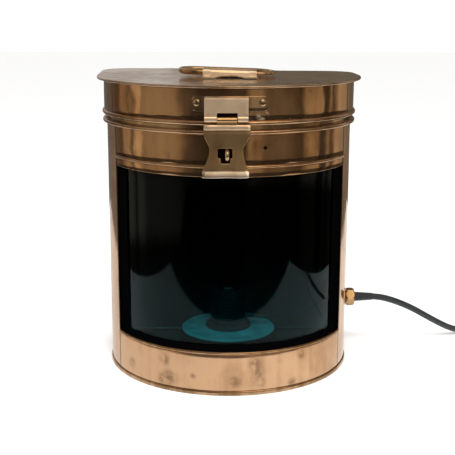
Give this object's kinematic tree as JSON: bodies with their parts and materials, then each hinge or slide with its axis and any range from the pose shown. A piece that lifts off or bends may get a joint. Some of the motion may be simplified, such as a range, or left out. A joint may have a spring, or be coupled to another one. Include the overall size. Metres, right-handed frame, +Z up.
{
  "type": "ship lantern",
  "caption": "D-shaped copper ship's stern lantern, wired for mains, with curved tinted glass, a rear-hinged lid, a front hasp, a lying ring handle and a flex with plug.",
  "frame": {"origin": "on the underside of the base plate, under the centre of the front curve, at the level the lantern stands on", "axes": "+Z up, -Y towards the glass front, +X to the side the flex leaves from"},
  "size_m": [0.4982, 0.2218, 0.2972],
  "materials": {
    "polished_copper": "polished copper, pinkish, with stains",
    "toned_copper": "polished copper toned brown by age",
    "brass_fittings": "worn polished brass",
    "tinted_glass": "dark blue-green tinted, glossy",
    "bulb_glass": "clear, slightly smoked",
    "black_rubber": "satin",
    "black_plastic": "satin",
    "nickel": "bright"
  },
  "bodies": {
    "case": {"base_plate": "toned_copper", "base_rim": "polished_copper", "body_wrap": "polished_copper", "front_lower_band": "polished_copper", "sill_bead": "polished_copper", "front_upper_band": "toned_copper", "head_bead": "polished_copper", "head_channel": "toned_copper", "body_top_bead": "polished_copper", "lid_collar": "toned_copper", "glass_gasket": "black_rubber", "front_glass": "tinted_glass", "glass_ledge": "toned_copper", "glass_guide_right": "toned_copper", "glass_guide_left": "toned_copper", "hasp_staple": "brass_fittings", "hanging_bracket": "brass_fittings", "bracket_rivet_1": "brass_fittings", "bracket_rivet_2": "brass_fittings", "bracket_rivet_3": "brass_fittings", "bracket_rivet_4": "brass_fittings", "burner_font": "brass_fittings", "holder_flange": "black_plastic", "holder_screw_1": "brass_fittings", "holder_screw_2": "brass_fittings", "lamp_holder": "black_plastic", "holder_ring": "black_plastic", "bulb_cap": "nickel", "bulb_glass": "bulb_glass", "inner_flex": "black_rubber", "gland_body": "brass_fittings", "gland_nut": "polished_copper", "gland_locknut": "brass_fittings", "cord_strain_relief": "black_rubber", "power_cord": "black_rubber", "cord_tail": "black_rubber", "cord_coil": "black_rubber", "plug_body": "black_plastic", "plug_pin_1": "nickel", "plug_pin_2": "nickel", "hinge_body_leaf": "brass_fittings", "hinge_body_rivet_1": "brass_fittings", "hinge_body_rivet_2": "brass_fittings", "hinge_pin": "brass_fittings"},
    "lid": {"lid_skirt": "toned_copper", "lid_bead": "polished_copper", "lid_top_plate": "toned_copper", "hinge_lid_leaf": "brass_fittings", "hinge_lid_rivet_1": "brass_fittings", "hinge_lid_rivet_2": "brass_fittings", "hasp_hinge_plate": "brass_fittings", "hasp_plate_rivet_1": "brass_fittings", "hasp_plate_rivet_2": "brass_fittings", "hasp_pin": "brass_fittings", "handle_saddle": "brass_fittings", "saddle_rivet_1": "brass_fittings", "saddle_rivet_2": "brass_fittings"},
    "hasp": {"hasp_plate": "brass_fittings"},
    "handle": {"ring_handle": "polished_copper"}
  },
  "joints": [
    {"name": "lid_hinge", "type": "hinge", "parent": "case", "child": "lid", "pos_m": [0, 0.0745, 0.2506], "axis": [-1, 0, 0], "range_deg": [0, 105]},
    {"name": "hasp_pivot", "type": "hinge", "parent": "lid", "child": "hasp", "pos_m": [-0.002, -0.129, 0.2596], "axis": [-1, 0, 0], "range_deg": [-6, 150]},
    {"name": "handle_pivot", "type": "hinge", "parent": "lid", "child": "handle", "pos_m": [0, -0.032, 0.2929], "axis": [1, 0, 0], "range_deg": [0, 100]}
  ]
}
